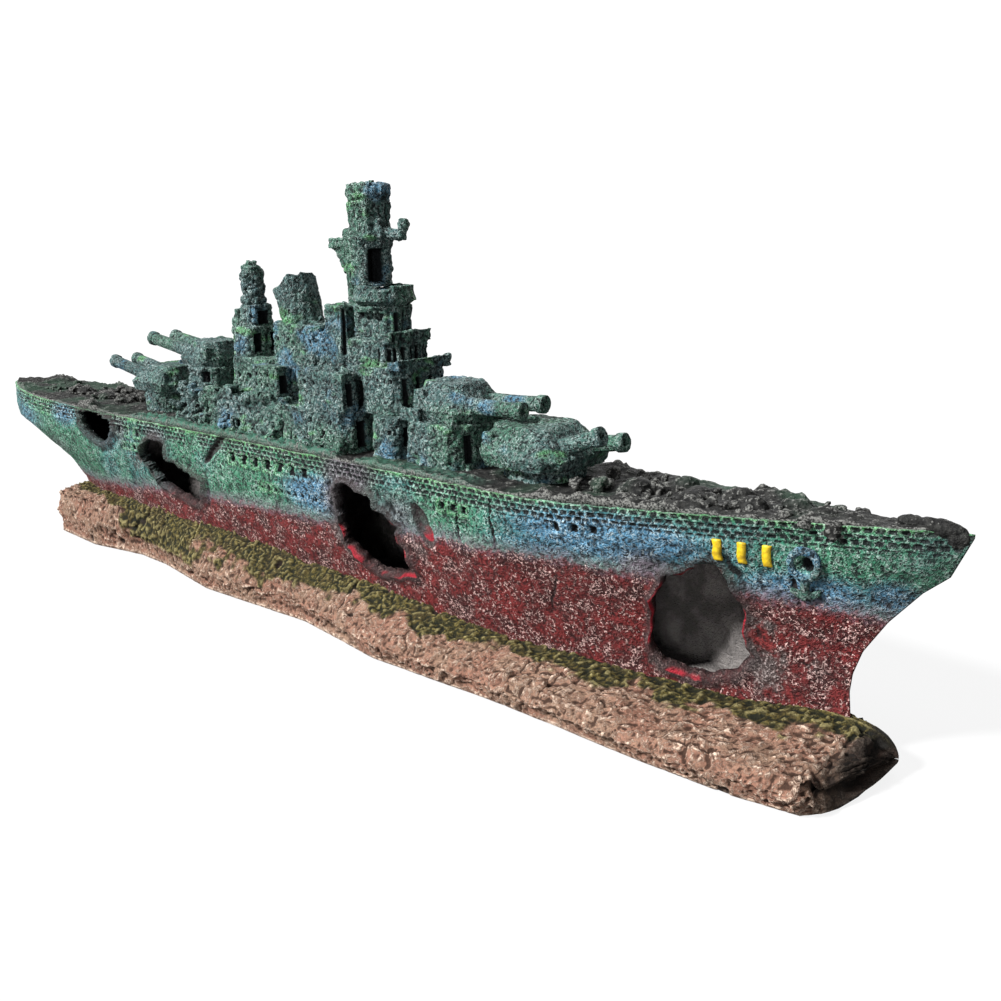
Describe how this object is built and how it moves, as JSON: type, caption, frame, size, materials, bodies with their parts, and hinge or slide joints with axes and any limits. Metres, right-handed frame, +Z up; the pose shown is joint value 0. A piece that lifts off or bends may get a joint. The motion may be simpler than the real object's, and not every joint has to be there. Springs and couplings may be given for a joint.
{
  "type": "aquarium bubbling ornament",
  "caption": "Sunken battleship ornament with a hollow torn hull on a long rock base, with an air stone inside and an airline nipple at the stern.",
  "frame": {"origin": "middle of the ship's length and width, on the underside of the rock base", "axes": "+X to the bow, +Y to port, +Z up"},
  "size_m": [0.36, 0.06, 0.1144],
  "materials": {
    "hull_paint": "cast resin painted dark red below and mottled green and blue above",
    "deck_paint": "cast resin painted black and dry-brushed grey",
    "house_paint": "cast resin painted mottled green and blue over black",
    "gun_paint": "cast resin painted green and teal",
    "rock_paint": "cast resin painted as tan rock with moss",
    "yellow_paint": "yellow paint",
    "air_plastic": "dark grey plastic, a guessed colour",
    "air_stone": "porous sintered grit",
    "grommet_rubber": "black rubber"
  },
  "bodies": {
    "root": {"aft_deck_wreckage": "deck_paint", "aft_deckhouse": "house_paint", "after_barbette": "house_paint", "air_nipple": "air_plastic", "air_pipe": "air_plastic", "air_stone": "air_stone", "bow_chock": "deck_paint", "bow_marks": "yellow_paint", "bridge_base": "house_paint", "director_column": "house_paint", "director_crown": "house_paint", "fore_barbette": "house_paint", "foredeck_wreckage": "deck_paint", "funnel_base": "house_paint", "gun_director": "house_paint", "hull_grommet": "grommet_rubber", "hull_shell": "hull_paint", "lookout_platform": "house_paint", "lower_bridge": "house_paint", "main_deck": "deck_paint", "main_deckhouse": "house_paint", "mast_house": "house_paint", "mast_plinth": "house_paint", "mast_step": "house_paint", "port_anchor": "hull_paint", "port_cabin": "house_paint", "port_wing": "house_paint", "rangefinder_horn": "house_paint", "ringed_mast": "house_paint", "rock_base": "rock_paint", "signal_locker": "house_paint", "signal_yard": "house_paint", "starboard_anchor": "hull_paint", "starboard_cabin": "house_paint", "starboard_wing": "house_paint", "torn_funnel": "house_paint", "tower": "house_paint", "tower_annex": "house_paint", "turret_a_house": "gun_paint", "turret_a_port_barrel": "gun_paint", "turret_a_ring": "house_paint", "turret_a_starboard_barrel": "gun_paint", "turret_b_house": "gun_paint", "turret_b_port_barrel": "gun_paint", "turret_b_starboard_barrel": "gun_paint", "turret_c_house": "gun_paint", "turret_c_port_barrel": "gun_paint", "turret_c_starboard_barrel": "gun_paint", "turret_d_house": "gun_paint", "turret_d_port_barrel": "gun_paint", "turret_d_ring": "house_paint", "turret_d_starboard_barrel": "gun_paint", "upper_bridge": "house_paint", "yard_pole": "house_paint"}
  },
  "joints": []
}
